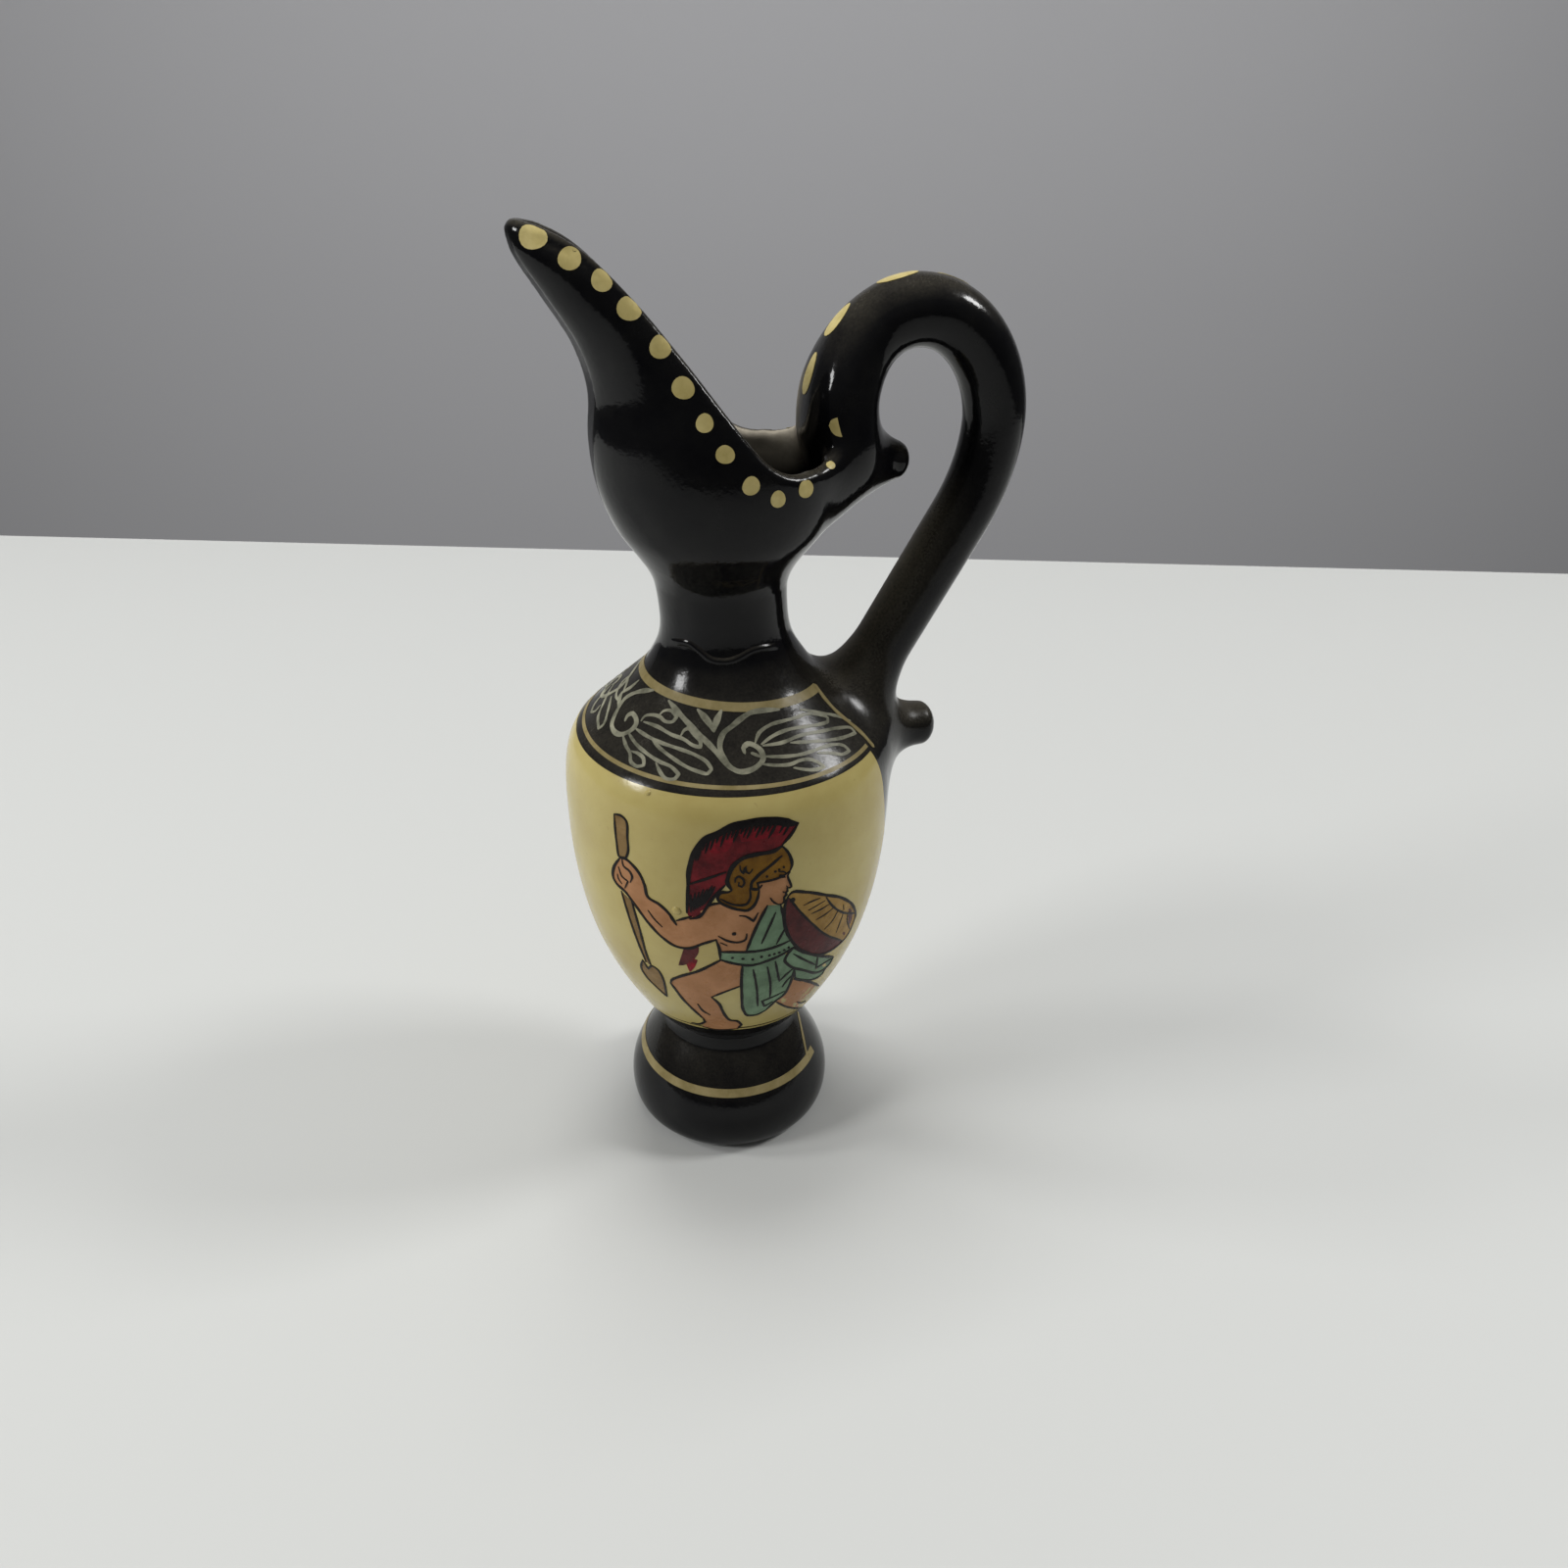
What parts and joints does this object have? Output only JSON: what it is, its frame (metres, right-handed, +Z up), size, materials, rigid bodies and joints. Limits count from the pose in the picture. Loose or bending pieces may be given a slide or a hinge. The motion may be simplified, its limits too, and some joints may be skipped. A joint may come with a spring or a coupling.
{
  "type": "beaked pitcher",
  "caption": "Footed ceramic pitcher with an ovoid belly, narrow neck, tall open beaked spout and one looped handle with two spurs.",
  "frame": {"origin": "centre of the foot's flat underside, on the surface that the pitcher stands on", "axes": "+Z up the vessel's axis, -X towards the spout, +X towards the handle"},
  "size_m": [0.0875, 0.0626, 0.1806],
  "materials": {
    "black_slip": "glossy black slip over fired clay",
    "cream_slip": "glossy cream slip over fired clay"
  },
  "bodies": {
    "root": {"foot": "black_slip", "body": "cream_slip", "neck": "black_slip", "mouth": "black_slip", "handle": "black_slip", "upper_spur": "black_slip", "lower_spur": "black_slip"}
  },
  "joints": []
}
